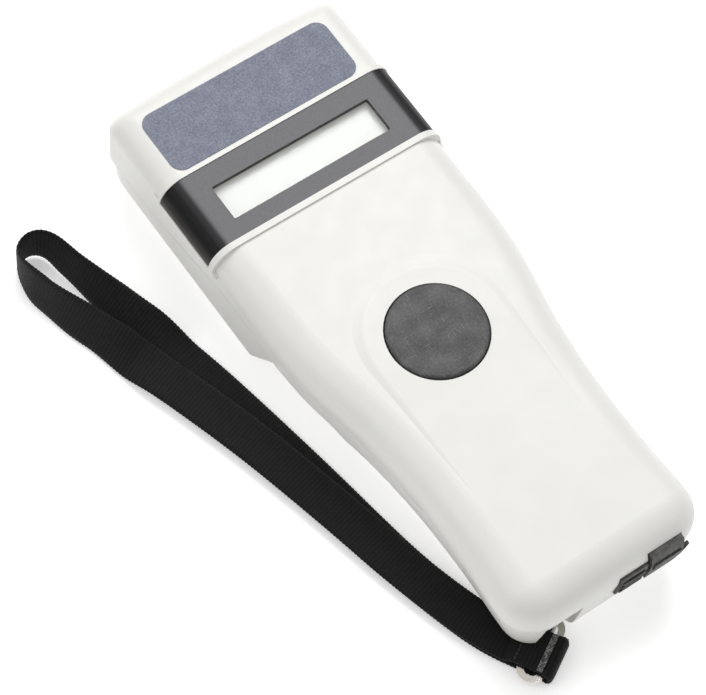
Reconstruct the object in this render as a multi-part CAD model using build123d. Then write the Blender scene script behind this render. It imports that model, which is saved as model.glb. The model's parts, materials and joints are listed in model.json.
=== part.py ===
from build123d import *
import math
import os

# Hand-held pet microchip scanner with a wrist strap, lying on its back. Millimetres.
# +X is to the scanner's right, +Y towards its antenna head, +Z out of its front face.
# The origin is under the middle of the housing, on the surface that the scanner lies on.

# Housing
LENGTH = 170.0
TOP = 29.0  # height of the flat front face
HEAD_HALF = 34.0
END_HALF = 27.9  # half width near the bottom end
END_Y = LENGTH / 2
WALL = 2.2
HEAD_BULGE, HEAD_SLOPE = 1.1, 0.08  # how far the head's end bows out, and its slope where its corners start
FRONT_CORNER, BACK_CORNER = 3.6, 8.0  # head corners of the front half, and of the back half
END_CORNER = 9.5
HEAD_TOP_ROUND, HANDLE_TOP_ROUND = 6.2, 8.5
HEAD_BACK_ROUND = 6.6
HANDLE_BACK_ROUND = 6.5
WAIST = 19.0  # height at which the handle starts to taper towards its back
SIDE_TAPER, END_TAPER = 4.5, 2.4  # how much narrower each side, and the end, is at the back
# Half widths of the handle between the parallel head and the end corner, as (half width, y)
FLANK = [(HEAD_HALF, 30.0), (33.9, 14.0), (33.3, 1.5), (31.7, -9.0), (29.7, -19.5), (28.3, -30.0), (27.4, -42.0),
         (27.2, -54.0), (27.5, -66.0), (END_HALF, -75.0)]
# Finger arch across the back: foot and top at the head side, then at the battery side
ARCH_TOP = 8.0
ARCH = [(22.8, 0.0), (16.06, ARCH_TOP), (-9.5, ARCH_TOP), (-18.5, 0.0)]
ARCH_ROUND = 5.0
# Joint line between the two shells, as (y, z)
PARTING = [(-92, 18), (-62, 18.8), (-30, 18.8), (-16, 17.6), (-4, 15.7), (8, 15.6), (18, 17.2), (28, 18.2),
           (38, 16.6), (50, 13.8), (62, 11.8), (74, 11.0), (92, 10.5)]
PARTING_GAP = 0.16

# Display end
BEZEL_LOW, BEZEL_HIGH = 36.5, 58.0  # y range of the black band
BEZEL_FOOT = 22.9  # height where the band ends on each side
BEZEL_DEPTH = 1.2
BEZEL_PROUD = 0.3
LIP_PROUD = 0.6
LIP_LOW, LIP_HIGH = 1.7, 1.1  # lip widths at the button side and at the label side
LEDGE_LOW, LEDGE_HIGH = 33.4, 61.4
LEDGE_FOOT = 21.7
WINDOW_Y = 46.8
WINDOW = (46.8, 10.4)
LABEL = (55.3, 18.3)
LABEL_AT = (-0.55, 68.8)
LABEL_CORNER = 3.4
LABEL_THICK = 0.25

# Scan button and the raised tongue round it
BUTTON_Y = -10.8
BUTTON_R = 12.75
BUTTON_GAP = 0.4
BUTTON_PROUD = 0.5
TONGUE_R = 17.6
TONGUE_END_Y = -48.0
TONGUE_RISE = 0.6
TONGUE_SLOPE = 4.0
TONGUE_TILT = 0.6  # degrees that the tongue leans, so that it fades into the front face near its end

# Inside
PCB_Z, PCB_THICK = 21.0, 1.6
BATTERY = (26.5, 48.5, 17.5)
BATTERY_Y, BATTERY_Z = -49.4, 2.7  # middle along Y, and underside
DOOR_HALF = 14.8
DOOR_LOW, DOOR_HIGH = -74.4, -20.6
DOOR_Z, DOOR_THICK = 0.15, 2.0
FRONT_BOSS_R, BACK_BOSS_R, STANDOFF_R = 2.9, 3.2, 2.4
BOSSES = [(26.0, 70.0), (-26.0, 70.0), (23.0, -2.0), (-23.0, -2.0)]
COIL = (44.0, 36.0)
COIL_Y = 52.0
SCREW_R, SCREW_HEAD_R, SCREW_SINK = 1.2, 2.3, 2.0
SWITCH_TOP = 25.7
PCB_SCREWS = [(-12.5, 24.0), (12.5, 24.0), (-12.5, -44.0), (12.5, -44.0)]
PCB_SCREW_R = 1.1
DOOR_TABS = (-64.0, -47.0, -30.0)  # middles of the door's tab pairs along Y
DOOR_TAB, DOOR_TRAVEL = 6.0, 10.0
DOOR_GAP = 0.3
TAB_SLOT = (0.8, 1.9)  # heights of the slots that the door's tabs slide in
FOAM_THICK = 0.45
REAR_LABEL, REAR_LABEL_AT = (36.0, 24.0), (0.0, 54.0)
SOUND_AT = (0.0, 30.0)
LCD, LCD_FRAME = (52.0, 15.0), (56.0, 19.0)
SNAP_DEPTH = 5.0
LENS = (49.6, 13.0)

# Bottom end
NOTCH = (-20.2, -9.4)  # x range of the lanyard notch
NOTCH_TOP, NOTCH_Y, NOTCH_WALL = 17.6, -75.4, 1.4
STRAP_ROOM = (5.4, 1.5, 26.0)  # cut that clears the strap: height, gap beside it, length from the fold
BAR_R, LEG_R = 1.2, 0.5  # lanyard bar: upright pin, and the leg that closes it below the ring
LEG_END = (-9.4, -78.9, 0.8)
CAP_X = (0.6, 9.0, 19.2)  # anchor from, cap from, cap to
CAP_Z = (11.6, 21.8, 24.4)  # bottom of both, top of the anchor, top of the cap
CAP_DEPTH = 1.3
CAP_PROUD = (0.7, 1.2)  # how far the anchor, and the hinged cap, stand out from the end wall
CAP_RIDGE = 0.45
ANCHOR_RIDGES = (13.2, 15.8, 18.4)  # lower edges of the anchor's ridges
ANCHOR_RIDGE_HIGH = 1.2
SOCKET_X, SOCKET_Z = (10.2, 18.2), (12.2, 19.6)  # opening of the data socket
SOCKET_Y = (-81.0, -74.2)
ANCHOR_AT = (4.6, 16.2)  # x and z of the cap's holding pin

# Wrist strap: woven webbing on a flat-wire oval ring
WEB_WIDTH, WEB_THICK = 11.0, 1.3
FOLD = (-17.2, -89.2)  # middle of the strap's fold round the ring
FOLD_HEADING = 120.0  # heading of the sewn end, in degrees
STITCH_ROW = (11.15, 12.35)  # sewn stretch, measured from the fold
RING_FROM_FOLD, RING_SHIFT = 5.6, 0.9  # middle of the ring from the fold, and from the strap's middle line
RING_STRAIGHT, RING_R = 11.4, 2.75
RING_WIRE = (1.7, 1.7)  # across and high
RING_Z = 1.55
BAR_ALONG = 7.05  # how far the lanyard bar is from the strap's middle line
# The loop in plan: near strand from the sewn end, tight turn on its edge, far strand back
NEAR = [(-23.4, -78.5), (-26.2, -73.65), (-30.3, -63.0), (-34.9, -47.0), (-38.1, -32.5), (-41.6, -18.0),
        (-45.4, -3.0), (-49.5, 10.5), (-53.6, 23.0)]
TURN = [(-58.0, 35.0), (-62.0, 45.5), (-65.0, 54.5), (-67.2, 63.6), (-67.9, 73.2), (-63.1, 76.0),
        (-58.5, 73.2), (-57.2, 64.5), (-54.9, 55.5), (-52.4, 47.0), (-49.2, 35.5)]
FAR = [(-46.0, 22.5), (-43.2, 8.5), (-40.6, -6.0), (-38.1, -20.5), (-35.9, -34.5), (-33.4, -48.5),
       (-29.7, -62.6), (-26.2, -73.65), (-23.4, -78.5)]
NEAR_Z, FAR_Z = 2.4, 0.8  # middle heights of the two strands
TWIST_EASE = 0.04  # how far the twist is from even along the turn
TURN_SECTIONS = 48


def flank_edges(side_in, end_in, corner_in):
    """Right side and bottom end of the housing's plan, from the parallel head to the middle of the end."""
    flank = [(x - side_in, y) for x, y in FLANK]
    end_r = END_CORNER - corner_in
    low_x, low_y = END_HALF - side_in, end_in - END_Y
    return [
        Spline(*flank, tangents=[(0, -1), (0, -1)]),
        Line(flank[-1], (low_x, low_y + end_r)),
        TangentArc((low_x, low_y + end_r), (low_x - end_r, low_y), tangent=(0, -1)),
        Line((low_x - end_r, low_y), (0, low_y)),
    ]


def both_sides(pieces):
    """Face within the edges of a plan's right half and their mirror image."""
    right = Wire(pieces)
    return make_face(Wire(right.edges() + mirror(right, about=Plane.YZ).edges()))


def outline(inset, head_corner):
    """Plan of the housing, moved in by inset."""
    head_r = head_corner - inset
    high_y = END_Y - inset
    top_x = HEAD_HALF - inset
    shoulder = (top_x - head_r, high_y - HEAD_BULGE)
    cheek = (top_x, shoulder[1] - head_r)
    head = [
        Spline((0, high_y), shoulder, tangents=[(1, 0), (1, -HEAD_SLOPE)]),
        Spline(shoulder, cheek, tangents=[(1, -HEAD_SLOPE), (0, -1)]),
        Line(cheek, (top_x, FLANK[0][1])),
    ]
    return both_sides(head + flank_edges(inset, inset, inset))


def handle_plan(side_in, end_in, corner_in):
    """Plan of the handle alone, cut straight across inside the head."""
    half, y = FLANK[0]
    return both_sides([Line((0, y), (half - side_in, y))] + flank_edges(side_in, end_in, corner_in))


def block(x, y, z):
    """Box between the limits of three (low, high) ranges."""
    size = [high - low for low, high in (x, y, z)]
    middle = [(high + low) / 2 for low, high in (x, y, z)]
    return Pos(*middle) * Box(*size)


def centred_block(size, y, z):
    """Box of a plan size, centred across the housing and on y, between two heights."""
    return block((-size[0] / 2, size[0] / 2), (y - size[1] / 2, y + size[1] / 2), z)


def arch(inset):
    """Space under the finger arch, grown by inset for the inside of the shell."""
    profile = Plane.YZ * Polyline(*[(y, z) for y, z in ARCH], (ARCH[-1][0], -6), (ARCH[0][0], -6), close=True)
    face = make_face(profile)
    corners = face.vertices().sort_by(Axis.Z)[-2:]
    face = fillet(corners, ARCH_ROUND)
    if inset > 0:
        face = offset(face, inset)
    return extrude(face, amount=HEAD_HALF + 8, both=True)


def crown(inset):
    """Part of the housing above the waist, with a larger round along the handle than round the head."""
    slab = extrude(Pos(0, 0, WAIST) * outline(inset, FRONT_CORNER), amount=TOP - inset - WAIST)
    rim = slab.faces().sort_by(Axis.Z)[-1].edges()
    split = BEZEL_LOW - LIP_LOW + (0.3 if inset >= 0 else -0.9)  # hidden beside the lip
    head = fillet(rim, HEAD_TOP_ROUND - inset) & block((-60, 60), (split, 100), (0, 60))
    return head + (fillet(rim, HANDLE_TOP_ROUND - inset) & block((-60, 60), (-100, split), (0, 60)))


def head_wedge(inset):
    """Space on the head's side of the slanted wall that faces the handle."""
    (foot_y, foot_z), (knee_y, knee_z) = ARCH[:2]
    run = (knee_y - foot_y) / (knee_z - foot_z)
    moved = foot_y + inset * math.hypot(1, run)
    low, high = -5, WAIST
    wall = [(moved + run * low, low), (moved + run * high, high), (100, high), (100, low)]
    return extrude(make_face(Plane.YZ * Polyline(*wall, close=True)), amount=60, both=True)


def body(inset, head_corner=FRONT_CORNER):
    """The whole housing as one solid, its surface moved in by inset (out where negative)."""
    foot = Pos(0, 0, inset) * handle_plan(inset + SIDE_TAPER, inset + END_TAPER, inset + END_TAPER)
    handle = loft([Pos(0, 0, WAIST) * handle_plan(inset, inset, inset), foot], ruled=True)
    rim = handle.faces().sort_by(Axis.Z)[0].edges().sort_by(Axis.Y)[:-2]
    handle = fillet(rim, HANDLE_BACK_ROUND - inset)
    head = extrude(Pos(0, 0, WAIST) * outline(inset, head_corner), amount=inset - WAIST)
    head = fillet(head.faces().sort_by(Axis.Z)[0].edges(), HEAD_BACK_ROUND - inset)
    return crown(inset) + handle + (head & head_wedge(inset)) - arch(inset)


def above_parting(shift):
    """Everything in front of the joint line, moved by shift along Z."""
    line = Spline(*[(y, z + shift) for y, z in PARTING])
    start, end = PARTING[0], PARTING[-1]
    rim = Polyline((end[0], end[1] + shift), (end[0], 60), (start[0], 60), (start[0], start[1] + shift))
    return extrude(Plane.YZ * make_face(Wire([line] + rim.edges())), amount=60, both=True)


def stadium(y_low, y_high, radius, z):
    """Flat face with round ends along Y."""
    slot = SlotCenterToCenter(y_high - y_low, 2 * radius, rotation=90)
    return Pos(0, (y_low + y_high) / 2, z) * slot


def tongue():
    """Raised pad round the button; its edge rises in three steps of slope, so that it looks soft."""
    rise = [0.0, 0.12, 0.48, 1.0 - 0.12, 1.0]
    run = [1.0, 0.72, 0.42, 0.14, 0.0]
    pad = None
    for i in range(len(rise) - 1):
        faces = [
            stadium(TONGUE_END_Y, BUTTON_Y, TONGUE_R + TONGUE_SLOPE * run[k], TOP + TONGUE_RISE * rise[k])
            for k in (i, i + 1)
        ]
        layer = loft(faces, ruled=True)
        pad = layer if pad is None else pad + layer
    pad = pad + extrude(stadium(TONGUE_END_Y, BUTTON_Y, TONGUE_R + TONGUE_SLOPE, TOP), amount=-0.8)
    high_y = BUTTON_Y + TONGUE_R
    return Pos(0, high_y, TOP) * Rot(TONGUE_TILT, 0, 0) * Pos(0, -high_y, -TOP) * pad


def band(low, high, foot):
    """Space over the head between two values of y and above a height."""
    return block((-60, 60), (low, high), (foot, 60))


def save(shape, name):
    """Write one node."""
    shape.label = name
    export_step(shape, f"parts/{name}.step")


os.makedirs("parts", exist_ok=True)
outer = body(0)
cavity = body(WALL)
back_outer = body(0, BACK_CORNER)
back_cavity = body(WALL, BACK_CORNER)
front_space = above_parting(PARTING_GAP / 2)
back_space = block((-60, 60), (-95, 95), (-10, 60)) - above_parting(-PARTING_GAP / 2)


def cap_zone(x_low, x_high, z_high, gap):
    """Space in front of the end wall for the port cap."""
    return block((x_low + gap, x_high - gap), (-100, -70), (CAP_Z[0] + gap, z_high - gap))


def end_cuts():
    """Cut-outs at the bottom end: cap recess, socket opening, anchor hole and the lanyard notch."""
    recess = cap_zone(CAP_X[0], CAP_X[1], CAP_Z[1], 0) + cap_zone(CAP_X[1], CAP_X[2], CAP_Z[2], 0)
    recess = recess - body(CAP_DEPTH)
    ports = block(SOCKET_X, (-90, -78), SOCKET_Z) + end_pin(ANCHOR_AT, 1.5, -90, -78)
    notch = block(NOTCH, (-100, NOTCH_Y), (-5, NOTCH_TOP))
    return recess + ports + notch + strap_room(0)


def end_pin(at, radius, low, high):
    """Cylinder along Y at (x, z), between two values of y."""
    middle = Plane(origin=(at[0], low, at[1]), z_dir=(0, 1, 0))
    return middle * Cylinder(radius, high - low, align=(Align.CENTER, Align.CENTER, Align.MIN))


def lanyard_wall():
    """Wall that closes the housing round the lanyard notch."""
    x_range = (NOTCH[0] - NOTCH_WALL, NOTCH[1] + NOTCH_WALL)
    room = block(x_range, (-100, NOTCH_Y + NOTCH_WALL), (-5, NOTCH_TOP + NOTCH_WALL))
    return (room + strap_room(NOTCH_WALL)) & outer


def strap_room(wall):
    """Space cut from the back corner so that the strap's sewn end lies clear, or its wall."""
    height, gap, length = STRAP_ROOM
    side = WEB_WIDTH / 2 + gap + wall
    return at_fold(block((-30, length + wall), (-side, 30), (-5, height + wall)))


def post(x, y, radius, low, high):
    """Upright cylinder between two heights."""
    return Pos(x, y, low) * Cylinder(radius, high - low, align=(Align.CENTER, Align.CENTER, Align.MIN))


def shell_half(space, outside, inside):
    """Skin and lanyard wall of the housing on one side of the joint line, with the end cut-outs."""
    skin = ((outside - inside) + lanyard_wall()) & space
    return skin - end_cuts()


def front_shell():
    """Front half of the housing with the lip, the bezel pocket and the button hole."""
    lip = band(BEZEL_LOW - LIP_LOW, BEZEL_HIGH + LIP_HIGH, LEDGE_FOOT)
    lip = lip + block((-60, 60), (LEDGE_LOW, LEDGE_HIGH), (LEDGE_FOOT, BEZEL_FOOT))
    rim = (body(-LIP_PROUD) & lip) - body(0.4)
    pocket = band(BEZEL_LOW, BEZEL_HIGH, BEZEL_FOOT) - body(BEZEL_DEPTH)
    shell = shell_half(front_space, outer, cavity) + rim + tongue() - pocket
    shell = shell - Pos(0, WINDOW_Y, TOP) * Box(LENS[0] + 0.8, LENS[1] + 0.8, 8)
    shell = shell - post(0, BUTTON_Y, BUTTON_R + BUTTON_GAP, TOP - 5, TOP + 5)
    for x, y in BOSSES:
        boss = post(x, y, FRONT_BOSS_R, 0, TOP - 1) & front_space
        shell = shell + boss - post(x, y, SCREW_R + 0.02, 5, TOP - WALL - 0.6)
    for x, y in PCB_SCREWS:
        standoff = post(x, y, STANDOFF_R, PCB_Z + PCB_THICK, TOP - 1)
        shell = shell + standoff - post(x, y, PCB_SCREW_R + 0.02, PCB_Z, TOP - WALL - 0.4)
    return shell


def rear_shell():
    """Back half of the housing with the finger arch, screw bosses and battery door channel."""
    shell = shell_half(back_space, back_outer, back_cavity)
    for x, y in BOSSES:
        foot = boss_foot(y)
        boss = post(x, y, BACK_BOSS_R, foot, TOP) & back_space
        shell = shell + boss - post(x, y, SCREW_R + 0.3, foot - 1, TOP)
        shell = shell - post(x, y, SCREW_HEAD_R + 0.3, foot - 1, foot + SCREW_SINK)
    door_end = ARCH[2][0]
    half = DOOR_HALF + DOOR_GAP
    shell = shell - block((-half, half), (DOOR_LOW - DOOR_GAP, door_end), (-1, BATTERY_Z))
    tab_x = DOOR_HALF + 1.6
    for y in DOOR_TABS:
        low = y - DOOR_TAB / 2 - DOOR_GAP
        high = y + DOOR_TAB / 2 + DOOR_TRAVEL + DOOR_GAP
        shell = shell - block((-tab_x, tab_x), (low, high), TAB_SLOT)
        shell = shell - block((-tab_x, tab_x), (high - DOOR_TAB - 2 * DOOR_GAP, high), (-1, TAB_SLOT[1]))
    shell = shell - extrude(rounded(REAR_LABEL, 2.5, REAR_LABEL_AT, -1), amount=1.5)
    for i in range(-2, 3):
        shell = shell - post(SOUND_AT[0] + 3.4 * i, SOUND_AT[1], 0.8, -1, 4)
    return shell


def boss_foot(y):
    """Height of the housing's outside under a screw boss."""
    return 0.0 if y > ARCH[0][0] else ARCH_TOP


def rounded(size, radius, at, z):
    """Flat rectangle with round corners."""
    return Pos(at[0], at[1], z) * RectangleRounded(size[0], size[1], radius)


def cross_head(screw, x, y, z):
    """Cut a cross recess into the underside of a screw head."""
    for size in ((2.4, 0.6), (0.6, 2.4)):
        screw = screw - Pos(x, y, z) * Box(size[0], size[1], 1.6)
    return screw


def case_screws():
    """The four screws that hold the shells together, put in from the back."""
    screws = []
    for x, y in BOSSES:
        seat = boss_foot(y) + SCREW_SINK
        head = post(x, y, SCREW_HEAD_R, seat - 1.5, seat)
        screws.append(cross_head(head, x, y, seat - 1.5) + post(x, y, SCREW_R, seat - 0.5, TOP - WALL - 2))
    return Compound(children=screws)


def pcb_screws():
    """The four screws that hold the circuit board to the front shell."""
    screws = []
    for x, y in PCB_SCREWS:
        head = post(x, y, 2.0, PCB_Z - 0.75, PCB_Z)
        screws.append(head + post(x, y, PCB_SCREW_R, PCB_Z - 0.2, TOP - WALL - 1))
    return Compound(children=screws)


def rear_label():
    """Blank type label in its shallow recess on the back of the head."""
    return extrude(rounded((REAR_LABEL[0] - 0.6, REAR_LABEL[1] - 0.6), 2.2, REAR_LABEL_AT, 0.14), amount=0.34)


def battery_door():
    """Sliding battery door: plate, three pairs of tabs, and grip grooves on its outside."""
    length = DOOR_HIGH - DOOR_LOW
    plate = Pos(0, (DOOR_HIGH + DOOR_LOW) / 2, DOOR_Z + DOOR_THICK / 2) * Box(2 * DOOR_HALF, length, DOOR_THICK)
    plate = fillet(plate.edges().filter_by(Axis.Z), 1.2)
    for y in DOOR_TABS:
        tab_x = DOOR_HALF + 1.3
        plate = plate + block((-tab_x, tab_x), (y - DOOR_TAB / 2, y + DOOR_TAB / 2), (TAB_SLOT[0] + 0.15, TAB_SLOT[1] - 0.15))
    for i in range(5):
        plate = plate - Pos(0, DOOR_LOW + 8 + 1.8 * i, 0) * Box(14, 0.8, 1.2)
    return plate


def battery_foam():
    """Foam pad on the inside of the battery door."""
    return block((-9, 9), (-66, -32), (DOOR_Z + DOOR_THICK, DOOR_Z + DOOR_THICK + FOAM_THICK))


def display_bezel():
    """Black band that wraps over the head, with the display window."""
    clear = 0.06
    space = band(BEZEL_LOW + clear, BEZEL_HIGH - clear, BEZEL_FOOT + clear)
    piece = (body(-BEZEL_PROUD) & space) - body(BEZEL_DEPTH - 0.02)
    return piece - extrude(rounded(WINDOW, 0.5, (0, WINDOW_Y), TOP - 5), amount=10)


def display_lens():
    """Clear window behind the bezel's opening."""
    top = TOP - BEZEL_DEPTH - 0.05
    return Pos(0, WINDOW_Y, top - 0.4) * Box(LENS[0], LENS[1], 0.8)


def lcd_frame():
    """Holder that stands on the board round the display glass."""
    low = PCB_Z + PCB_THICK
    holder = centred_block(LCD_FRAME, WINDOW_Y, (low, TOP - WALL - 0.1))
    return holder - centred_block((LCD[0] + 0.4, LCD[1] + 0.4), WINDOW_Y, (low + 1.4, TOP))


def lcd_glass():
    """Liquid crystal display."""
    low = PCB_Z + PCB_THICK + 1.45
    return centred_block(LCD, WINDOW_Y, (low, TOP - WALL - 0.2))


def head_label():
    """Thin printed label on the flat of the head."""
    zone = extrude(rounded(LABEL, LABEL_CORNER, LABEL_AT, TOP - 3), amount=6)
    return (body(-LABEL_THICK) & zone) - outer


def scan_button():
    """Hollow round button with a retaining flange and a middle stem."""
    top = TOP + TONGUE_RISE + BUTTON_PROUD
    disc = post(0, BUTTON_Y, BUTTON_R, TOP - WALL - 1.1, top)
    disc = fillet(disc.edges().sort_by(Axis.Z)[-1], 0.7)
    flange = post(0, BUTTON_Y, BUTTON_R + 1.9, TOP - WALL - 1.3, TOP - WALL - 0.25)
    hollow = post(0, BUTTON_Y, BUTTON_R - 1.6, TOP - WALL - 3, top - 1.9)
    stem = post(0, BUTTON_Y, 2.4, SWITCH_TOP + 1.0, top - 1.8)
    return disc + flange - hollow + stem


def switch_plunger():
    """Round plunger of the switch, which the button's stem rests on."""
    return post(0, BUTTON_Y, 1.6, SWITCH_TOP - 0.6, SWITCH_TOP + 1.0)


def tact_switch():
    """Square switch body with the bore of its plunger."""
    low = PCB_Z + PCB_THICK
    case = block((-3, 3), (BUTTON_Y - 3, BUTTON_Y + 3), (low, SWITCH_TOP))
    case = chamfer(case.edges().filter_by(Axis.Z), 0.5)
    return case - post(0, BUTTON_Y, 1.75, low + 0.6, SWITCH_TOP + 1)


def main_pcb():
    """Circuit board: narrow tail under the button, wide head under the display."""
    board = block((-16, 16), (-80, 31), (PCB_Z, PCB_Z + PCB_THICK))
    board = board + block((-22, 22), (30, 77), (PCB_Z, PCB_Z + PCB_THICK))
    for x, y in PCB_SCREWS:
        board = board - post(x, y, PCB_SCREW_R + 0.1, PCB_Z - 1, PCB_Z + 4)
    return board


def chip(x, y, size):
    """Flat chip on the front of the board."""
    low = PCB_Z + PCB_THICK
    return block((x - size[0] / 2, x + size[0] / 2), (y - size[1] / 2, y + size[1] / 2), (low, low + size[2]))


def circuit_chips():
    """The smaller parts on the board, as one group."""
    parts = [chip(-8, -30, (5, 4, 1.0)), chip(8, -28, (6, 5, 1.2)), chip(-6, -60, (8, 6, 1.4))]
    parts += [chip(8, -60, (4, 4, 1.8)), chip(0, 68, (7, 7, 1.0)), chip(13, 66, (4, 8, 1.5))]
    return Compound(children=parts)


def buzzer():
    """Round sounder under the board, over the sound holes."""
    can = post(SOUND_AT[0], SOUND_AT[1], 6.0, PCB_Z - 6.5, PCB_Z)
    return can - post(SOUND_AT[0], SOUND_AT[1], 1.0, PCB_Z - 7, PCB_Z - 4)


def racetrack(inset, low, high):
    """Solid with round ends along X, moved in from the coil's outline."""
    slot = Pos(0, COIL_Y, low) * SlotOverall(COIL[0] - 2 * inset, COIL[1] - 2 * inset)
    return extrude(slot, amount=high - low)


def coil_former():
    """Bobbin of the antenna coil: two flanges, a core wall and four feet."""
    former = racetrack(0, 4.0, 12.0) - racetrack(6.5, 3, 13)
    former = former - (racetrack(-1, 5.0, 11.0) - racetrack(4.0, 5.0, 11.0))
    for x in (-12, 12):
        for y in (-14.5, 14.5):
            former = former + post(x, COIL_Y + y, 1.8, WALL, 4.2)
    return former


def antenna_coil():
    """Copper winding in the bobbin's groove."""
    return racetrack(0.5, 5.05, 10.95) - racetrack(3.95, 5, 11)


def battery():
    """Block battery with its two terminals towards the head."""
    width, length, height = BATTERY
    case = Pos(0, BATTERY_Y, BATTERY_Z + height / 2) * Box(width, length, height)
    case = fillet(case.edges().filter_by(Axis.Y), 1.8)
    end = BATTERY_Y + length / 2
    for x in (-6.3, 6.3):
        case = case + end_pin((x, BATTERY_Z + height / 2), 2.7, end - 0.5, end + 2.6)
    return case


def battery_snap():
    """Snap connector on the battery's terminals."""
    face_y = BATTERY_Y + BATTERY[1] / 2
    middle_z = BATTERY_Z + BATTERY[2] / 2
    plate = block((-12.5, 12.5), (face_y + 0.1, face_y + SNAP_DEPTH), (middle_z - 4.5, middle_z + 4.5))
    for x in (-6.3, 6.3):
        plate = plate - end_pin((x, middle_z), 2.75, face_y - 1, face_y + 3)
    return plate


def lead(x):
    """One insulated battery wire, from the snap connector up to the board."""
    start = BATTERY_Y + BATTERY[1] / 2 + SNAP_DEPTH
    middle_z = BATTERY_Z + BATTERY[2] / 2
    bend, rise = (x, start + 4.4, middle_z), (x, start + 6.6, middle_z + 4.6)
    route = [(x, start, middle_z), bend, rise, (x, start + 6.9, PCB_Z - 0.05)]
    return tube(route, 0.7, f"lead at {x}")


def corner_radii(points):
    """Arc radius for each corner of a route: as large as its two runs allow."""
    places = [Vector(*p) for p in points]
    radii = []
    for a, b, c in zip(places, places[1:], places[2:]):
        turn = math.radians((b - a).get_angle(c - b))
        radii.append(0.45 * min((b - a).length, (c - b).length) / math.tan(turn / 2))
    return radii


def arc_path(points, name):
    """Straight runs joined by tangent arcs."""
    radii = corner_radii(points)
    print(name, "arc radii", [round(r, 1) for r in radii])
    return FilletPolyline(*points, radius=radii)


def tube(points, radius, name):
    """Round cord along a route."""
    path = arc_path(points, name)
    solid = sweep(Plane(origin=path @ 0, z_dir=path % 0) * Circle(radius), path=path)
    print(name, "volume over section times length", round(solid.volume / (math.pi * radius**2 * path.length), 3))
    return solid


def ribbon(points, name):
    """Flat webbing along a level route."""
    path = arc_path(points, name)
    face = Plane(origin=path @ 0, x_dir=(path % 0).cross(Vector(0, 0, 1)), z_dir=path % 0)
    solid = sweep(face * Rectangle(WEB_WIDTH, WEB_THICK), path=path)
    section = WEB_WIDTH * WEB_THICK
    print(name, "length", round(path.length, 1), "volume ratio", round(solid.volume / section / path.length, 3))
    return solid


def halfway(a, b):
    """Middle of a run in plan."""
    return ((a[0] + b[0]) / 2, (a[1] + b[1]) / 2)


def level(points, z):
    """Plan points at one height."""
    return [(x, y, z) for x, y in points]


def strap_near():
    """Upper strand, from the sewn end towards the turn."""
    return ribbon(level(NEAR + [halfway(NEAR[-1], TURN[0])], NEAR_Z), "strap_near")


def strap_far():
    """Lower strand, from the turn back to the sewn end."""
    return ribbon(level([halfway(TURN[-1], FAR[0])] + FAR, FAR_Z), "strap_far")


def strap_turn():
    """Turn of the loop: the webbing rolls over from flat, through its edge, to flat again."""
    points = [halfway(NEAR[-1], TURN[0])] + TURN + [halfway(TURN[-1], FAR[0])]
    path = arc_path(level(points, 0), "strap_turn")
    sections = []
    for i in range(TURN_SECTIONS + 1):
        t = i / TURN_SECTIONS
        roll = -math.pi * (t + TWIST_EASE * math.sin(2 * math.pi * t))
        ahead = path % t
        across = Vector(-ahead.Y, ahead.X, 0) * math.cos(roll) + Vector(0, 0, 1) * math.sin(roll)
        rest = FAR_Z - WEB_THICK / 2 + (NEAR_Z - FAR_Z) * max(0, 1 - 4 * t) ** 2
        height = rest + WEB_WIDTH / 2 * abs(math.sin(roll)) + WEB_THICK / 2 * abs(math.cos(roll))
        place = Plane(origin=(path @ t) + Vector(0, 0, height), x_dir=across, z_dir=ahead)
        sections.append(place * Rectangle(WEB_WIDTH, WEB_THICK))
    solid = loft(sections, ruled=True)
    ratio = solid.volume / (WEB_WIDTH * WEB_THICK * path.length)
    print("strap_turn length", round(path.length, 1), "volume ratio", round(ratio, 3))
    return solid


def at_fold(shape):
    """Place a shape made along +X from the fold."""
    return Pos(FOLD[0], FOLD[1], 0) * Rot(0, 0, FOLD_HEADING) * shape


def strap_end():
    """Sewn end: two layers with the ring's channel between them, round the fold and sewn together."""
    half = WEB_WIDTH / 2
    low, high = FAR_Z - WEB_THICK / 2, RING_Z + RING_WIRE[1] + 0.15 + WEB_THICK
    radius = (high - low) / 2
    whole = block((radius, STITCH_ROW[1]), (-half, half), (low, high))
    whole = whole + end_roll(radius, radius, (low + high) / 2)
    inner = block((radius, STITCH_ROW[0]), (-half - 1, half + 1), (low + WEB_THICK, high - WEB_THICK))
    inner = inner + end_roll(radius, radius - WEB_THICK, (low + high) / 2, half + 1)
    return at_fold(whole - inner)


def end_roll(x, radius, z, half=WEB_WIDTH / 2):
    """Cylinder across the strap."""
    return Pos(x, 0, z) * Rot(90, 0, 0) * Cylinder(radius, 2 * half)


def strap_stitching():
    """Rows of thread on the sewn stretch."""
    top = RING_Z + RING_WIRE[1] + 0.15 + WEB_THICK
    stitches = []
    for s in (STITCH_ROW[0] + 0.3, STITCH_ROW[1] - 0.3):
        for k in range(-3, 4):
            stitches.append(at_fold(Pos(s, 1.45 * k, top + 0.1) * Box(0.35, 1.0, 0.2)))
    return Compound(children=stitches)


def lanyard_bar():
    """Metal bar in the notch: an upright pin, and a leg below the ring into the notch's wall."""
    place = at_fold(Pos(RING_FROM_FOLD, -BAR_ALONG, 0)).position
    x, y = place.X, place.Y
    pin = post(x, y, BAR_R, LEG_END[2], NOTCH_TOP)
    knee = Pos(x, y, LEG_END[2]) * Sphere(LEG_R)
    run = Vector(*LEG_END) - Vector(x, y, LEG_END[2])
    leg = Plane(origin=(x, y, LEG_END[2]), z_dir=run)
    leg = leg * Cylinder(LEG_R, run.length + 1, align=(Align.CENTER, Align.CENTER, Align.MIN))
    leg = leg & block((-60, LEG_END[0]), (-100, 0), (0, 5))
    return pin + knee + leg


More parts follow.
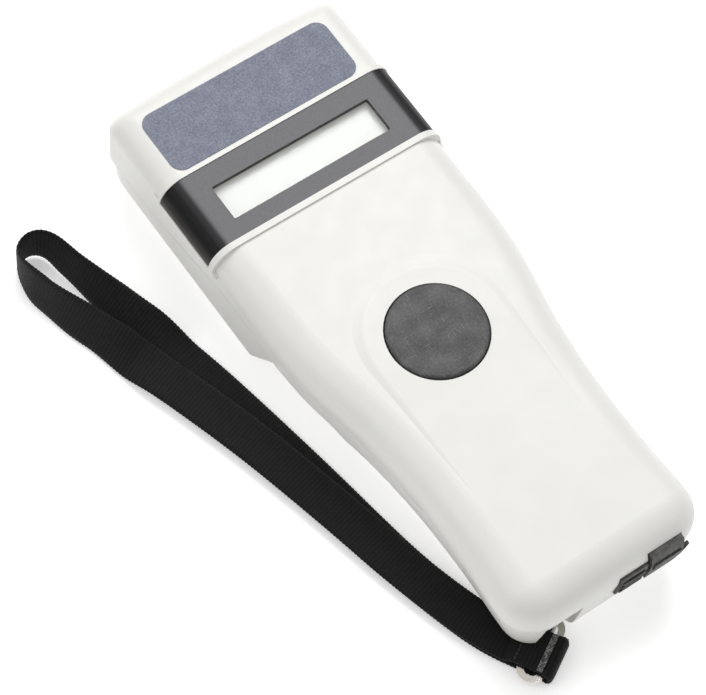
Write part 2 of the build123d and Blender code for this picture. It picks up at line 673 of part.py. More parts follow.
def lanyard_ring():
    """Oval split ring of flat wire in two turns."""
    place = at_fold(Pos(RING_FROM_FOLD, -RING_SHIFT, RING_Z) * Rot(0, 0, 90))
    wire = RING_WIRE[0]
    outside = SlotCenterToCenter(RING_STRAIGHT, 2 * RING_R + wire)
    inside = SlotCenterToCenter(RING_STRAIGHT, 2 * RING_R - wire)
    ring = extrude(place * (outside - inside), amount=RING_WIRE[1])
    split = place * Pos(0, RING_R, RING_WIRE[1] / 2) * Box(9.0, 3.0, 0.16)
    return ring - split


def data_socket():
    """Square data socket hung under the end of the board, with its contact tongue."""
    low = SOCKET_Z[0] - 0.7
    case = block((SOCKET_X[0] - 0.8, SOCKET_X[1] + 0.7), SOCKET_Y, (low, PCB_Z - 0.5))
    case = case + block((SOCKET_X[0] - 0.8, 15.9), SOCKET_Y, (PCB_Z - 1, PCB_Z))
    return case - block(SOCKET_X, (SOCKET_Y[0] - 1, SOCKET_Y[0] + 6.2), SOCKET_Z)


def cap_skin(x_low, x_high, z_high, proud):
    """Rubber skin that fills its part of the end recess and stands proud of the end wall."""
    return (body(-proud) & cap_zone(x_low, x_high, z_high, 0.2)) - body(CAP_DEPTH - 0.05)


def cap_ridge(x, z, proud):
    """Raised bar on the outside of the rubber, between ranges of x and z."""
    return (body(-proud - CAP_RIDGE) - body(0.2)) & block(x, (-100, -70), z)


def port_cap_anchor():
    """Fixed part of the rubber cap, with ridges and the pin that holds it in the end wall."""
    low_x, high_x = CAP_X[0], CAP_X[1] - 0.1
    skin = cap_skin(low_x, high_x, CAP_Z[1], CAP_PROUD[0])
    for z in ANCHOR_RIDGES:
        skin = skin + cap_ridge((low_x + 0.9, high_x - 0.9), (z, z + ANCHOR_RIDGE_HIGH), CAP_PROUD[0])
    return skin + end_pin(ANCHOR_AT, 1.4, -84, -81) + end_pin(ANCHOR_AT, 1.9, -81.3, -80.4)


def port_cap():
    """Hinged part of the rubber cap: skin, raised rib, pull tab and a short plug."""
    proud = CAP_PROUD[1]
    skin = cap_skin(CAP_X[1] + 0.1, CAP_X[2], CAP_Z[2], proud)
    rib = cap_ridge((CAP_X[1] + 1.2, CAP_X[2] - 1.0), (17.6, 20.4), proud)
    tab = (body(-proud - 0.2) - body(-0.32)) & block((CAP_X[2] - 2.5, CAP_X[2] + 2.2), (-100, -60), (14.4, 18.6))
    plug = block((SOCKET_X[0] + 1.0, SOCKET_X[1] - 1.4), (-84.5, -82.2), (SOCKET_Z[0] + 1, SOCKET_Z[1] - 1))
    return skin + rib + tab + plug


save(front_shell(), "front_shell")
save(rear_shell(), "rear_shell")
save(case_screws(), "case_screws")
save(rear_label(), "rear_label")
save(head_label(), "head_label")

save(display_bezel(), "display_bezel")
save(display_lens(), "display_lens")
save(lcd_frame(), "lcd_frame")
save(lcd_glass(), "lcd_glass")

save(scan_button(), "scan_button")
save(switch_plunger(), "switch_plunger")
save(tact_switch(), "tact_switch")

save(main_pcb(), "main_pcb")
save(pcb_screws(), "pcb_screws")
save(chip(0, 10, (10, 10, 1.3)), "processor_chip")
save(circuit_chips(), "circuit_chips")
save(buzzer(), "buzzer")
save(coil_former(), "coil_former")
save(antenna_coil(), "antenna_coil")

save(battery(), "battery")
save(battery_snap(), "battery_snap")
save(lead(-2.0), "lead_red")
save(lead(2.0), "lead_black")
save(battery_door(), "battery_door")
save(battery_foam(), "battery_foam")

save(data_socket(), "data_socket")
save(port_cap_anchor(), "port_cap_anchor")
save(port_cap(), "port_cap")

save(lanyard_bar(), "lanyard_bar")
save(lanyard_ring(), "lanyard_ring")
save(strap_end(), "strap_end")
save(strap_stitching(), "strap_stitching")
save(strap_near(), "strap_near")
save(strap_turn(), "strap_turn")
save(strap_far(), "strap_far")
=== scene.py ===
"""Hand-held pet microchip scanner with a wrist strap: looks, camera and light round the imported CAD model."""

import json
import math

import bmesh
import bpy
from mathutils import Matrix, Vector


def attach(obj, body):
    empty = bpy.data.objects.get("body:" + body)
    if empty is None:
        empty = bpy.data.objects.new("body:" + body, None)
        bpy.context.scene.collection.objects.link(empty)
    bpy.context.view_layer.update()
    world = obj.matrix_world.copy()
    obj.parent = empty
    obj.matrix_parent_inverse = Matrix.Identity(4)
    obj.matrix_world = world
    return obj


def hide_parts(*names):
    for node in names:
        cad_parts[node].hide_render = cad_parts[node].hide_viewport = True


MM = 0.001
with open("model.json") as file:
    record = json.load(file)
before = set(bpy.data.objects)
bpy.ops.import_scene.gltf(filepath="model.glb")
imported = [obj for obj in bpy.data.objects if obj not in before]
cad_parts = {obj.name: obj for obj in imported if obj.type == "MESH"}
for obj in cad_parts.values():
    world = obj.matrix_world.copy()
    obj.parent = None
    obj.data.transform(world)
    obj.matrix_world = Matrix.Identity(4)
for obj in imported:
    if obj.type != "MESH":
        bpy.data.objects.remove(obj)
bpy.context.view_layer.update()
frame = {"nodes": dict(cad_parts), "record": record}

# ------------------------------------------------------------------ strap sizes, in mm, as in the CAD model
WEB_WIDTH, WEB_THICK = 11.0, 1.2
FOLD, FOLD_HEADING = (-17.2, -89.2), 120.0
# Sewn end, in a frame that starts at the fold: (along, z) of the webbing's middle line, over the ring and back below
END_TOP = 4.1  # middle height of the layer over the ring
END_LINE = [(14.2, 2.45), (12.9, 2.3), (11.6, 3.1), (10.0, END_TOP), (5.0, END_TOP), (1.5, 4.2), (0.55, 3.4),
            (0.55, 1.4), (1.5, 0.75), (5.0, 0.75), (12.6, 0.8)]
ROLL_AT, ROLL_SWELL = 1.9, 0.35  # the thicker roll at the fold: how far it goes, and how much it swells
HIGHLIGHT_BAND_SPAN = (2.9, 4.4)  # pale strip before the roll, along from the fold: painted highlight and wear on the bulged webbing there
HIGHLIGHT_BAND_SIZE = (10.6, 0.35)
SEAM_AT, SEAM_Z = 10.2, 4.5  # row of stitches across the top layer
STITCHES = 9
STITCH_SIZE = (0.45, 0.8, 0.35)  # along, share of the step across, high
# Loop in plan: near strand from the sewn end, turn on its edge, far strand back
NEAR = [(-23.4, -78.5), (-26.2, -73.65), (-30.2, -62.9), (-34.7, -46.9), (-37.85, -32.3), (-41.3, -17.8),
        (-45.1, -2.8), (-49.2, 10.8), (-53.3, 23.3)]
TURN = [(-57.8, 35.2), (-61.9, 45.7), (-65.4, 54.4), (-68.2, 63.2), (-68.3, 72.0), (-63.6, 74.6),
        (-59.0, 72.1), (-57.4, 64.0), (-55.1, 55.2), (-52.5, 46.8), (-49.2, 35.5)]
TURN_Z = [2.4, 3.4, 4.9, 5.6, 6.1, 6.1, 6.1, 5.9, 5.3, 3.6, 0.9]
FAR = [(-45.9, 22.5), (-43.1, 8.5), (-40.5, -6.0), (-38.0, -20.5), (-35.9, -34.5), (-33.5, -48.6),
       (-29.8, -62.7), (-26.2, -73.65), (-23.4, -78.5)]
NEAR_Z, FAR_Z = 2.4, 0.8  # middle heights of the two strands
BACK_AT = 0.665  # share of the loop's length where the far strand starts
# How far the webbing has rolled over, as (share of the loop's length, degrees)
ROLL = [(0.0, 0.0), (0.335, 0.0), (0.405, -50.0), (0.455, -68.0), (0.492, -90.0), (0.54, -108.0), (0.60, -128.0),
        (0.665, -180.0), (1.0, -180.0)]
RIB_PITCH, RIB_STEPS = 1.0, 6  # spacing of the ribs, and rows of vertices in each
RIB_WIDER, RIB_THICKER = 0.12, 0.11  # how much a rib stands out at the edges and on the faces
YARN, HIGHLIGHT_BAND_YARN = 0.42, 0.55  # spacing of the yarns across the webbing, and across the pale strip before the roll
SECTION_COLUMNS, EDGE_SHARPNESS, EDGE_THICKNESS = 14, 14, 0.35


# ------------------------------------------------------------------ camera, light and floor
def make_camera():
    """Camera above the left of the battery end."""
    azimuth, elevation, roll = -42.0, 63.0, 7.8
    turn = Matrix.Rotation(math.radians(azimuth), 4, "Z")
    tilt = Matrix.Rotation(math.radians(90 - elevation), 4, "X")
    spin = Matrix.Rotation(math.radians(roll), 4, "Z")
    data = bpy.data.cameras.new("camera")
    data.lens = 161.1
    data.sensor_width = 36.0
    data.sensor_fit = "HORIZONTAL"
    camera = bpy.data.objects.new("camera", data)
    bpy.context.collection.objects.link(camera)
    camera.matrix_world = Matrix.Translation((-0.24988, -0.25902, 0.70500)) @ turn @ tilt @ spin
    bpy.context.scene.camera = camera


def area_light(name, place, size, power, target=(0, 0, 0.015)):
    """Soft square light that looks at a point of the object."""
    data = bpy.data.lights.new(name, "AREA")
    data.shape = "SQUARE"
    data.size = size
    data.energy = power
    light = bpy.data.objects.new(name, data)
    bpy.context.collection.objects.link(light)
    light.location = place
    light.rotation_euler = (Vector(target) - Vector(place)).to_track_quat("-Z", "Y").to_euler()
    return light


def make_stage():
    """Pale floor, pale surroundings that darken towards the horizon, and soft lights."""
    mesh = bpy.data.meshes.new("floor")
    half = 3.0
    low = -0.0001
    corners = [(-half, -half, low), (half, -half, low), (half, half, low), (-half, half, low)]
    mesh.from_pydata(corners, [], [(0, 1, 2, 3)])
    floor = bpy.data.objects.new("floor", mesh)
    bpy.context.collection.objects.link(floor)
    paint = bpy.data.materials.new("floor")
    paint.use_nodes = True
    shader = paint.node_tree.nodes["Principled BSDF"]
    shader.inputs["Base Color"].default_value = (0.95, 0.95, 0.95, 1)
    shader.inputs["Roughness"].default_value = 0.9
    shader.inputs["Emission Color"].default_value = (1, 1, 1, 1)
    shader.inputs["Emission Strength"].default_value = 0.35
    mesh.materials.append(paint)

    world = bpy.data.worlds.new("studio")
    bpy.context.scene.world = world
    world.use_nodes = True
    tree = world.node_tree
    sky = tree.nodes["Background"]
    place = tree.nodes.new("ShaderNodeTexCoord")
    split = tree.nodes.new("ShaderNodeSeparateXYZ")
    ramp = tree.nodes.new("ShaderNodeValToRGB")
    tree.links.new(place.outputs["Generated"], split.inputs[0])
    tree.links.new(split.outputs["Z"], ramp.inputs[0])
    ramp.color_ramp.elements[0].position = 0.0
    ramp.color_ramp.elements[0].color = (0.16, 0.16, 0.16, 1)
    ramp.color_ramp.elements[1].position = 0.9
    ramp.color_ramp.elements[1].color = (1.0, 1.0, 1.0, 1)
    tree.links.new(ramp.outputs[0], sky.inputs["Color"])
    sky.inputs["Strength"].default_value = 0.68

    area_light("key", (0.55, 0.75, 1.25), 0.9, 12.6)
    area_light("fill", (-0.9, 0.4, 0.9), 0.9, 2.4)
    area_light("front", (0.5, -0.9, 0.8), 0.8, 0.7)
    bpy.context.scene.view_settings.view_transform = "Standard"


# ------------------------------------------------------------------ materials
class Shader:
    """Short calls for building one node material."""

    def __init__(self, name, color, roughness, metallic=0.0):
        self.material = bpy.data.materials.new(name)
        self.material.use_nodes = True
        self.tree = self.material.node_tree
        self.main = self.tree.nodes["Principled BSDF"]
        self.main.inputs["Base Color"].default_value = (*color, 1)
        self.main.inputs["Roughness"].default_value = roughness
        self.main.inputs["Metallic"].default_value = metallic
        self.place = self.tree.nodes.new("ShaderNodeTexCoord").outputs["Object"]

    def link(self, output, target):
        self.tree.links.new(output, target)

    def noise(self, size, detail=2.0, stretch=None):
        """Noise whose features are about size mm across."""
        node = self.tree.nodes.new("ShaderNodeTexNoise")
        node.inputs["Scale"].default_value = 1 / (size * MM)
        node.inputs["Detail"].default_value = detail
        if stretch:
            mapping = self.tree.nodes.new("ShaderNodeMapping")
            mapping.inputs["Scale"].default_value = stretch
            self.link(self.place, mapping.inputs["Vector"])
            self.link(mapping.outputs[0], node.inputs["Vector"])
        else:
            self.link(self.place, node.inputs["Vector"])
        return node.outputs["Fac"]

    def spread(self, value, low, high, from_low=0.3, from_high=0.7):
        """Map a value to a range."""
        node = self.tree.nodes.new("ShaderNodeMapRange")
        node.inputs["From Min"].default_value = from_low
        node.inputs["From Max"].default_value = from_high
        node.inputs["To Min"].default_value = low
        node.inputs["To Max"].default_value = high
        self.link(value, node.inputs["Value"])
        return node.outputs["Result"]

    def math(self, kind, a, b=None):
        """One sum; a and b are outputs or numbers."""
        node = self.tree.nodes.new("ShaderNodeMath")
        node.operation = kind
        for socket, value in zip(node.inputs, (a, b)):
            if value is None:
                continue
            if isinstance(value, (int, float)):
                socket.default_value = value
            else:
                self.link(value, socket)
        return node.outputs[0]

    def mix(self, factor, a, b):
        """Colour between two colours; a and b are colours or outputs."""
        node = self.tree.nodes.new("ShaderNodeMix")
        node.data_type = "RGBA"
        self.link(factor, node.inputs["Factor"])
        a_in = [s for s in node.inputs if s.name == "A" and s.type == "RGBA"][0]
        b_in = [s for s in node.inputs if s.name == "B" and s.type == "RGBA"][0]
        for socket, value in ((a_in, a), (b_in, b)):
            if isinstance(value, tuple):
                socket.default_value = (*value, 1)
            else:
                self.link(value, socket)
        return [s for s in node.outputs if s.type == "RGBA"][0]

    def ramp(self, value, stops):
        """Colour read from (position, colour) stops."""
        node = self.tree.nodes.new("ShaderNodeValToRGB")
        elements = node.color_ramp.elements
        while len(elements) < len(stops):
            elements.new(0.5)
        for element, (position, color) in zip(elements, stops):
            element.position = position
            element.color = (*color, 1)
        self.link(value, node.inputs[0])
        return node.outputs[0]

    def color(self, output):
        self.link(output, self.main.inputs["Base Color"])

    def roughness(self, output):
        self.link(output, self.main.inputs["Roughness"])

    def bump(self, height, depth, strength=1.0):
        """Bump of a depth in mm; later calls stack on earlier ones."""
        node = self.tree.nodes.new("ShaderNodeBump")
        node.inputs["Strength"].default_value = strength
        node.inputs["Distance"].default_value = depth * MM
        self.link(height, node.inputs["Height"])
        normal = self.main.inputs["Normal"]
        if normal.is_linked:
            self.link(normal.links[0].from_socket, node.inputs["Normal"])
        self.link(node.outputs[0], normal)

    def strap_place(self):
        """Distances along and across the webbing, in metres, from its own UV map."""
        uv = self.tree.nodes.new("ShaderNodeUVMap")
        uv.uv_map = "along_across"
        split = self.tree.nodes.new("ShaderNodeSeparateXYZ")
        self.link(uv.outputs[0], split.inputs[0])
        return split.outputs["X"], split.outputs["Y"]

    def up(self):
        """How far the surface faces up, 1 where it is level."""
        geometry = self.tree.nodes.new("ShaderNodeNewGeometry")
        split = self.tree.nodes.new("ShaderNodeSeparateXYZ")
        self.link(geometry.outputs["Normal"], split.inputs[0])
        return split.outputs["Z"]


def ivory_plastic():
    """Satin moulded ABS with a fine grain and faint blotches."""
    s = Shader("ivory_plastic", (0.8, 0.79, 0.75), 0.4)
    s.color(s.mix(s.spread(s.noise(35), 0, 1), (0.80, 0.793, 0.755), (0.83, 0.824, 0.79)))
    s.roughness(s.spread(s.noise(6), 0.36, 0.46))
    s.bump(s.noise(0.5), 0.008)
    return s.material


def label_slate():
    """Matte printed film with a fine speckle."""
    s = Shader("label_slate", (0.17, 0.19, 0.27), 0.5)
    speckle = s.mix(s.spread(s.noise(0.55, 1), 0, 1), (0.120, 0.136, 0.195), (0.215, 0.230, 0.295))
    s.color(speckle)
    s.roughness(s.spread(s.noise(3), 0.45, 0.6))
    s.bump(s.noise(0.4), 0.01)
    return s.material


def bezel_black():
    """Grey film on the flat, part its own colour and part painted reflection of the light above; painted shade to
    black round the curve and a painted warm reflection where it faces sideways, all set by how far the surface faces
    up.
    """
    s = Shader("bezel_black", (0.02, 0.02, 0.02), 0.25)
    up = s.up()
    # Painted shade and reflection by facing: warm grey where the surface faces sideways, black round the curve,
    # lighter towards the flat.
    side = s.ramp(up, [(0.0, (0.075, 0.066, 0.058)), (0.25, (0.040, 0.035, 0.031)), (0.55, (0.006, 0.006, 0.006)),
                       (0.86, (0.006, 0.006, 0.007)), (0.965, (0.035, 0.035, 0.037)), (0.997, (0.15, 0.148, 0.155))])
    # Flat top: part the film's own grey, part painted reflection of the light above.
    film_and_painted_reflection = s.mix(s.spread(s.noise(0.4), 0, 1), (0.15, 0.148, 0.155), (0.18, 0.178, 0.187))
    s.color(s.mix(s.spread(up, 0, 1, 0.985, 0.9999), side, film_and_painted_reflection))
    s.roughness(s.spread(up, 0.38, 0.44, 0.6, 0.999))
    s.main.inputs["Specular IOR Level"].default_value = 0.2
    s.bump(s.noise(0.35), 0.006)
    return s.material


def button_grey():
    """Worn rubbery plastic with a mottled fine grain."""
    s = Shader("button_grey", (0.13, 0.13, 0.13), 0.6)
    cloud = s.mix(s.spread(s.noise(5.0, 6), 0, 1, 0.35, 0.65), (0.105, 0.105, 0.107), (0.20, 0.20, 0.198))
    grain = s.mix(s.spread(s.noise(0.5, 3), 0, 1), (0.06, 0.06, 0.06), (0.26, 0.26, 0.26))
    node = s.tree.nodes.new("ShaderNodeMix")
    node.data_type = "RGBA"
    node.blend_type = "SOFT_LIGHT"
    node.inputs[0].default_value = 0.8
    colors = [i for i in node.inputs if i.type == "RGBA"]
    s.link(cloud, colors[0])
    s.link(grain, colors[1])
    worn = [o for o in node.outputs if o.type == "RGBA"][0]
    streaks = s.math("MAXIMUM", s.noise(3.0, 2, (1, 9, 1)), s.noise(3.0, 2, (8, 1.2, 1)))
    s.color(s.mix(s.spread(streaks, 0, 0.5, 0.62, 0.74), worn, (0.27, 0.27, 0.27)))
    s.roughness(s.spread(s.noise(2.5, 4), 0.5, 0.75))
    s.bump(s.noise(0.45, 3), 0.05)
    return s.material


def rubber_black():
    """Dark rubber, a little grey on top."""
    s = Shader("rubber_black", (0.03, 0.03, 0.03), 0.55)
    s.color(s.mix(s.spread(s.noise(1.4, 4), 0, 1, 0.4, 0.62), (0.032, 0.031, 0.030), (0.080, 0.077, 0.074)))
    s.bump(s.noise(0.5, 2), 0.03)
    return s.material


def metal(name, color, roughness, scratch=0.02):
    """Plated metal with faint scratches."""
    s = Shader(name, color, roughness, 1.0)
    s.roughness(s.spread(s.noise(1.2, 3, (1, 6, 1)), roughness * 0.7, roughness * 1.6))
    s.bump(s.noise(0.6, 3, (1, 5, 1)), scratch)
    return s.material


def moulded(name, color, roughness=0.5, vary=0.15, grain=0.4):
    """Plain moulded plastic, rubber or card with a little variation."""
    s = Shader(name, color, roughness)
    dark = tuple(c * (1 - vary) for c in color)
    light = tuple(min(1.0, c * (1 + vary)) for c in color)
    s.color(s.mix(s.spread(s.noise(4.0, 3), 0, 1), dark, light))
    s.bump(s.noise(grain), 0.01)
    return s.material


def clear_window():
    """Thin clear acrylic."""
    s = Shader("clear_window", (1, 1, 1), 0.05)
    s.main.inputs["Transmission Weight"].default_value = 1.0
    s.main.inputs["IOR"].default_value = 1.2
    s.roughness(s.spread(s.noise(8), 0.02, 0.08))
    return s.material


def display_glass():
    """Pale liquid crystal display, with a painted glow that makes it read brighter."""
    s = Shader("display_glass", (0.9, 0.93, 0.9), 0.3)
    s.color(s.mix(s.spread(s.noise(20), 0, 1), (0.74, 0.76, 0.72), (0.80, 0.82, 0.79)))
    # Painted glow: a faint emission on the unlit display.
    s.main.inputs["Emission Color"].default_value = (0.93, 0.95, 0.92, 1)
    s.main.inputs["Emission Strength"].default_value = 0.15
    return s.material


def webbing():
    """Black woven webbing: yarn bumps in rows across the strap, with painted shade in the hollows between them, read
    from the strap's own UV map in mm.
    """
    s = Shader("webbing_black", (0.012, 0.012, 0.013), 0.5)
    length, width = s.strap_place()
    along = s.math("MULTIPLY", length, math.pi / (RIB_PITCH * MM))
    across = s.math("MULTIPLY", width, math.pi / (YARN * MM))
    row = s.math("ABSOLUTE", s.math("SINE", along))
    yarn = s.math("ABSOLUTE", s.math("SINE", s.math("ADD", across, s.math("MULTIPLY", along, 0.5))))
    weave = s.math("MULTIPLY", s.math("POWER", row, 0.6), s.math("POWER", yarn, 0.5))
    fuzz = s.noise(0.25, 4)
    # Painted shade: the colour follows the weave's height, darker in the hollows between yarns and lighter on their
    # crowns, with random fuzz.
    weave_shade_and_fuzz = s.math("MULTIPLY", weave, s.spread(fuzz, 0.3, 1.3))
    s.color(s.mix(weave_shade_and_fuzz, (0.002, 0.002, 0.0022), (0.017, 0.017, 0.0175)))
    s.roughness(s.spread(fuzz, 0.42, 0.7))
    s.main.inputs["Specular IOR Level"].default_value = 0.16
    s.main.inputs["Sheen Weight"].default_value = 0.04
    s.bump(weave, 0.16)
    s.bump(fuzz, 0.05)
    return s.material


def worn_highlight_band():
    """Pale strip: painted highlight and wear on the bulged webbing before the roll, with painted shade in the gaps
    between its yarns.
    """
    s = Shader("worn_highlight_band", (0.2, 0.2, 0.2), 0.7)
    _, width = s.strap_place()
    threads = s.math("ABSOLUTE", s.math("SINE", s.math("MULTIPLY", width, math.pi / (HIGHLIGHT_BAND_YARN * MM))))
    gap_shade_and_mottle = s.math("MULTIPLY", s.math("POWER", threads, 0.6), s.spread(s.noise(0.5, 4), 0.1, 1.2, 0.4, 0.62))
    # Painted highlight and wear in the pale colour, painted shade in the dark gaps between the yarns.
    s.color(s.mix(gap_shade_and_mottle, (0.015, 0.015, 0.015), (0.34, 0.335, 0.325)))
    s.bump(threads, 0.12)
    return s.material


def finish_cad_nodes():
    """Give every CAD node its material, by its slot."""
    finish = {
        "ivory_plastic": ivory_plastic(),
        "label_slate": label_slate(),
        "label_silver": moulded("label_silver", (0.62, 0.62, 0.61), 0.35, 0.04),
        "bezel_black": bezel_black(),
        "clear_window": clear_window(),
        "display_glass": display_glass(),
        "button_grey": button_grey(),
        "chip_black": moulded("chip_black", (0.02, 0.02, 0.022), 0.45, 0.3),
        "board_green": moulded("board_green", (0.02, 0.16, 0.06), 0.3, 0.2),
        "bobbin_white": moulded("bobbin_white", (0.78, 0.77, 0.74), 0.5, 0.03),
        "copper_wire": metal("copper_wire", (0.72, 0.33, 0.15), 0.3),
        "battery_case": moulded("battery_case", (0.06, 0.06, 0.07), 0.3, 0.2),
        "wire_red": moulded("wire_red", (0.45, 0.02, 0.02), 0.4),
        "wire_black": moulded("wire_black", (0.015, 0.015, 0.015), 0.4),
        "foam_grey": moulded("foam_grey", (0.12, 0.12, 0.12), 0.9, 0.3, 0.8),
        "socket_steel": metal("socket_steel", (0.55, 0.55, 0.55), 0.3),
        "rubber_black": rubber_black(),
        "steel": metal("steel", (0.60, 0.59, 0.57), 0.28),
        "ring_chrome": metal("ring_chrome", (0.82, 0.79, 0.75), 0.12),
    }
    slots = {part["node"]: part["material_slot"] for part in frame["record"]["subparts"]}
    for node, obj in frame["nodes"].items():
        if slots[node] in finish:
            for slot in obj.material_slots:
                slot.material = finish[slots[node]]


# ------------------------------------------------------------------ wrist strap
def strap_route():
    """The route's points in metres, near strand first."""
    near = [(x, y, NEAR_Z) for x, y in NEAR]
    turn = [(x, y, z) for (x, y), z in zip(TURN, TURN_Z)]
    far = [(x, y, FAR_Z) for x, y in FAR]
    return [Vector(p) * MM for p in near + turn + far]


def smooth_line(route):
    """Points read from the NURBS spline of a route."""
    curve = bpy.data.curves.new("strap_line", "CURVE")
    curve.dimensions = "3D"
    spline = curve.splines.new("NURBS")
    spline.points.add(len(route) - 1)
    for point, place in zip(spline.points, route):
        point.co = (*place, 1)
    spline.order_u = 3
    spline.use_endpoint_u = True
    spline.resolution_u = 24
    holder = bpy.data.objects.new("strap_line", curve)
    bpy.context.collection.objects.link(holder)
    mesh = bpy.data.meshes.new_from_object(holder)
    line = [v.co.copy() for v in mesh.vertices]
    bpy.data.objects.remove(holder)
    bpy.data.meshes.remove(mesh)
    return line


def resample(line, step):
    """Points evenly spaced along a line, with the distance of each."""
    lengths = [0.0]
    for a, b in zip(line, line[1:]):
        lengths.append(lengths[-1] + (b - a).length)
    count = max(2, round(lengths[-1] / step))
    points, k = [], 0
    for i in range(count + 1):
        want = lengths[-1] * i / count
        while k < len(line) - 2 and lengths[k + 1] < want:
            k += 1
        part = (want - lengths[k]) / max(1e-12, lengths[k + 1] - lengths[k])
        points.append((line[k].lerp(line[k + 1], min(1, part)), want))
    return points, lengths[-1]


def ease(t):
    """Smooth step from 0 to 1."""
    t = min(1.0, max(0.0, t))
    return t * t * (3 - 2 * t)


def roll_at(distance, total):
    """How far the webbing has rolled over, in radians, at a distance along the loop."""
    t = distance / total
    for (t0, r0), (t1, r1) in zip(ROLL, ROLL[1:]):
        if t <= t1:
            return math.radians(r0 + (r1 - r0) * ease((t - t0) / (t1 - t0)))
    return math.radians(ROLL[-1][1])


def webbing_section():
    """Half-width and half-thickness factors round the webbing's section, as (across, out)."""
    points = []
    for side in (1, -1):
        for k in range(SECTION_COLUMNS + 1):
            across = side * (1 - 2 * k / SECTION_COLUMNS)
            edge = 1 - abs(across) ** EDGE_SHARPNESS
            points.append((across, side * max(EDGE_THICKNESS, edge)))
    return points


def ribbon(name, frames, swell=None, size=(WEB_WIDTH, WEB_THICK)):
    """Ribbed webbing through frames of (place, across, out, distance); swell gives the extra half size there."""
    mesh = bpy.data.meshes.new(name)
    bm = bmesh.new()
    uv = bm.loops.layers.uv.new("along_across")
    section = webbing_section()
    rows, facts = [], []
    for place, across, out, distance in frames:
        rib = 0.5 + 0.5 * math.cos(2 * math.pi * distance / (RIB_PITCH * MM))
        extra = swell(place) if swell else 0.0
        half_width = (size[0] / 2 - RIB_WIDER + RIB_WIDER * rib + extra) * MM
        half_thick = (size[1] / 2 - RIB_THICKER + RIB_THICKER * rib + 0.5 * extra) * MM
        ring = [bm.verts.new(place + across * (a * half_width) + out * (o * half_thick)) for a, o in section]
        rows.append(ring)
        facts.append([(distance, a * size[0] / 2 * MM) for a, _ in section])
    count = len(section)
    for i in range(len(rows) - 1):
        for k in range(count):
            n = (k + 1) % count
            face = bm.faces.new((rows[i][k], rows[i][n], rows[i + 1][n], rows[i + 1][k]))
            face.smooth = True
            for loop, fact in zip(face.loops, (facts[i][k], facts[i][n], facts[i + 1][n], facts[i + 1][k])):
                loop[uv].uv = fact
    bm.faces.new(list(reversed(rows[0])))
    bm.faces.new(rows[-1])
    bmesh.ops.recalc_face_normals(bm, faces=bm.faces)
    bm.to_mesh(mesh)
    bm.free()
    obj = bpy.data.objects.new(name, mesh)
    bpy.context.collection.objects.link(obj)
    return obj


def strap_frames():
    """Place, across, out and distance at even steps along the whole loop, with the loop's length."""
    line = smooth_line(strap_route())
    points, total = resample(line, RIB_PITCH * MM / RIB_STEPS)
    frames = []
    for i, (place, distance) in enumerate(points):
        before, after = points[max(0, i - 3)][0], points[min(len(points) - 1, i + 3)][0]
        ahead = (after - before).normalized()
        level = Vector((-ahead.y, ahead.x, 0)).normalized()
        upright = ahead.cross(level)
        roll = roll_at(distance, total)
        across = (level * math.cos(roll) + upright * math.sin(roll)).normalized()
        out = ahead.cross(across).normalized()
        low = WEB_WIDTH / 2 * abs(across.z) + WEB_THICK / 2 * abs(out.z) + 0.05
        lifted = Vector((place.x, place.y, max(place.z, low * MM)))
        frames.append((lifted, across, out, distance))
    return frames, total


def make_strap(cloth):
    """The loop of webbing: the strand with the turn, and the strand that goes back under it to the sewn end."""
    frames, total = strap_frames()
    back = min(range(len(frames)), key=lambda i: abs(frames[i][3] - BACK_AT * total))
    for name, part, nodes in (("strap_over", frames[:back + 1], ("strap_near", "strap_turn")),
                              ("strap_under", frames[back:], ("strap_far",))):
        obj = ribbon(name, part)
        obj.data.materials.append(cloth)
        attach(obj, "lanyard")
        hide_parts(*nodes)


def fold_frame():
    """The fold's place, and the directions along and across the sewn end."""
    heading = math.radians(FOLD_HEADING)
    along = Vector((math.cos(heading), math.sin(heading), 0))
    across = Vector((-math.sin(heading), math.cos(heading), 0))
    return Vector((*FOLD, 0)) * MM, along, across


def fold_frames(line):
    """Frames for ribbon() through the points of a line of the sewn end."""
    _, _, across = fold_frame()
    points, _ = resample(line, RIB_PITCH * MM / RIB_STEPS)
    frames = []
    for i, (place, distance) in enumerate(points):
        before, after = points[max(0, i - 1)][0], points[min(len(points) - 1, i + 1)][0]
        ahead = (after - before).normalized()
        frames.append((place, across, ahead.cross(across).normalized(), distance))
    return frames


def on_fold(points):
    """Points in metres from (along, z) in mm."""
    fold, along, _ = fold_frame()
    return [fold + along * (s * MM) + Vector((0, 0, z * MM)) for s, z in points]


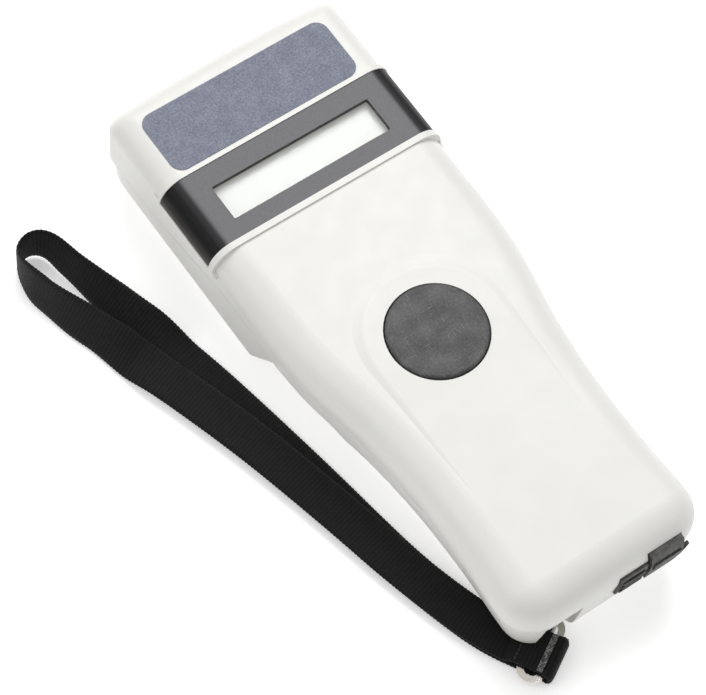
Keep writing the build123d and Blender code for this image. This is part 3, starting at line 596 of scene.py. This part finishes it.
def roll_swell(place):
    """Extra half size of the webbing at a point, for the thick roll at the fold."""
    fold, along, _ = fold_frame()
    return ROLL_SWELL * ease(1.6 - (place - fold).dot(along) / (ROLL_AT * MM))


def stitch_row(name):
    """Row of short rounded stitches across the strap."""
    fold, along, across = fold_frame()
    mesh = bpy.data.meshes.new(name)
    bm = bmesh.new()
    step = (WEB_WIDTH - 0.8) / STITCHES
    turn = Matrix((along, across, Vector((0, 0, 1)))).transposed().to_4x4()
    sizes = Matrix.Diagonal((STITCH_SIZE[0] * MM, step * STITCH_SIZE[1] * MM, STITCH_SIZE[2] * MM, 1))
    for k in range(STITCHES):
        aside = across * ((k - (STITCHES - 1) / 2) * step * MM)
        middle = fold + along * (SEAM_AT * MM) + aside + Vector((0, 0, SEAM_Z * MM))
        bmesh.ops.create_uvsphere(bm, u_segments=10, v_segments=6, radius=0.5,
                                  matrix=Matrix.Translation(middle) @ turn @ sizes)
    for face in bm.faces:
        face.smooth = True
    bm.to_mesh(mesh)
    bm.free()
    obj = bpy.data.objects.new(name, mesh)
    bpy.context.collection.objects.link(obj)
    return obj


def make_sewn_end(cloth, thread):
    """Webbing folded round the ring, with its thick roll, a pale strip of painted highlight and wear before it, and
    the seam.
    """
    end = ribbon("strap_fold", fold_frames(smooth_line(on_fold(END_LINE))), roll_swell)
    end.data.materials.append(cloth)
    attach(end, "lanyard")
    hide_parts("strap_end")
    top = END_TOP + WEB_THICK / 2
    # A thin pale strip laid over the top layer: painted highlight and wear on the bulge before the roll.
    highlight_strip = ribbon("strap_worn_highlight", fold_frames(on_fold([(HIGHLIGHT_BAND_SPAN[1], top), (HIGHLIGHT_BAND_SPAN[0], top)])), size=HIGHLIGHT_BAND_SIZE)
    highlight_strip.data.materials.append(worn_highlight_band())
    seam = stitch_row("strap_seam")
    seam.data.materials.append(thread)
    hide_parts("strap_stitching")
    for piece in (highlight_strip, seam):
        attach(piece, "lanyard")


make_camera()
make_stage()
cloth = webbing()
make_strap(cloth)
finish_cad_nodes()
make_sewn_end(cloth, moulded("thread_black", (0.035, 0.035, 0.036), 0.6, 0.3))
